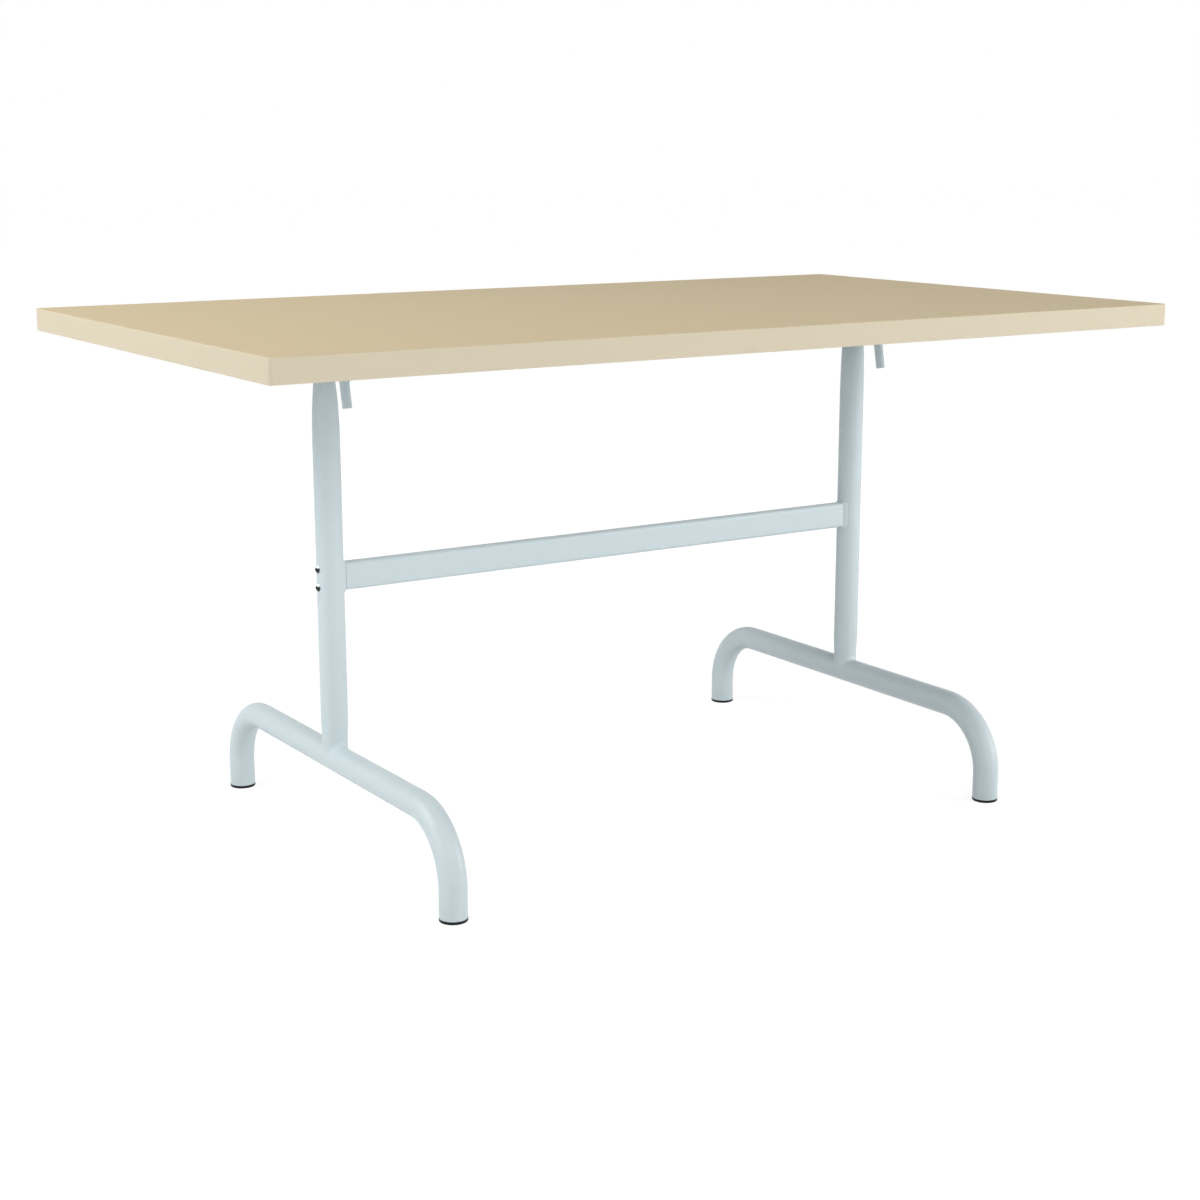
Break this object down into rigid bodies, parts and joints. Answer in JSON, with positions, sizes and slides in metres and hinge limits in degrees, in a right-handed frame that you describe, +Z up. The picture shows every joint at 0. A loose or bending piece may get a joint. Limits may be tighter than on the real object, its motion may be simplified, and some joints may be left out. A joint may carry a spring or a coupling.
{
  "type": "folding table",
  "caption": "Rectangular dining table on two T-shaped tube stands joined by a crossbar; pulling two latch levers lets the whole top tilt upright for nesting.",
  "frame": {"origin": "on the floor, under the middle of the tabletop", "axes": "+X along the tabletop's length, -Y towards the front edge that swings up, where the levers are, +Z up"},
  "size_m": [1.4, 0.8, 0.724],
  "materials": {
    "top_skin": "satin moulded laminate, beige",
    "top_core": "pressed wood chips",
    "top_backing": "matt laminate, beige",
    "frame_paint": "powder coating, pale blue-grey, satin",
    "bolt_steel": "polished",
    "plated_steel": "bright zinc plating",
    "black_rubber": "matt",
    "black_plastic": "matt",
    "insert_brass": "turned"
  },
  "bodies": {
    "frame": {"left_base_tube": "frame_paint", "right_base_tube": "frame_paint", "left_column": "frame_paint", "right_column": "frame_paint", "crossbar": "frame_paint", "left_crossbar_saddle": "frame_paint", "right_crossbar_saddle": "frame_paint", "crossbar_bolts": "bolt_steel", "bolt_seat_washers": "bolt_steel", "front_left_glide": "black_plastic", "back_left_glide": "black_plastic", "front_right_glide": "black_plastic", "back_right_glide": "black_plastic", "left_catch_bracket": "frame_paint", "right_catch_bracket": "frame_paint", "left_catch_pin": "plated_steel", "right_catch_pin": "plated_steel", "left_stop_sleeves": "black_rubber", "right_stop_sleeves": "black_rubber", "left_pivot_bushes": "black_plastic", "right_pivot_bushes": "black_plastic"},
    "top": {"tabletop_shell": "top_skin", "tabletop_core": "top_core", "tabletop_backing": "top_backing", "left_rail": "frame_paint", "right_rail": "frame_paint", "rail_screws": "plated_steel", "threaded_inserts": "insert_brass", "left_pivot_bolt": "plated_steel", "right_pivot_bolt": "plated_steel", "pivot_washers": "plated_steel", "pivot_lock_nuts": "plated_steel", "left_fold_buffer": "black_rubber", "right_fold_buffer": "black_rubber", "left_latch_pin": "plated_steel", "right_latch_pin": "plated_steel", "latch_pin_clips": "plated_steel", "left_latch_spring": "plated_steel", "right_latch_spring": "plated_steel"},
    "left_latch": {"left_hook": "frame_paint", "left_lever": "frame_paint"},
    "right_latch": {"right_hook": "frame_paint", "right_lever": "frame_paint"}
  },
  "joints": [
    {"name": "top_tilt", "type": "hinge", "parent": "frame", "child": "top", "pos_m": [0, 0, 0.663], "axis": [-1, 0, 0], "range_deg": [0, 90]},
    {"name": "left_latch_turn", "type": "hinge", "parent": "top", "child": "left_latch", "pos_m": [-0.4475, -0.047, 0.679], "axis": [-1, 0, 0], "range_deg": [0, 24], "stiffness_Nm_per_rad": 0.5, "springref_deg": -28.65, "deforming": ["left_latch_spring"]},
    {"name": "right_latch_turn", "type": "hinge", "parent": "top", "child": "right_latch", "pos_m": [0.4475, -0.047, 0.679], "axis": [-1, 0, 0], "range_deg": [0, 24], "stiffness_Nm_per_rad": 0.5, "springref_deg": -28.65, "deforming": ["right_latch_spring"]}
  ]
}
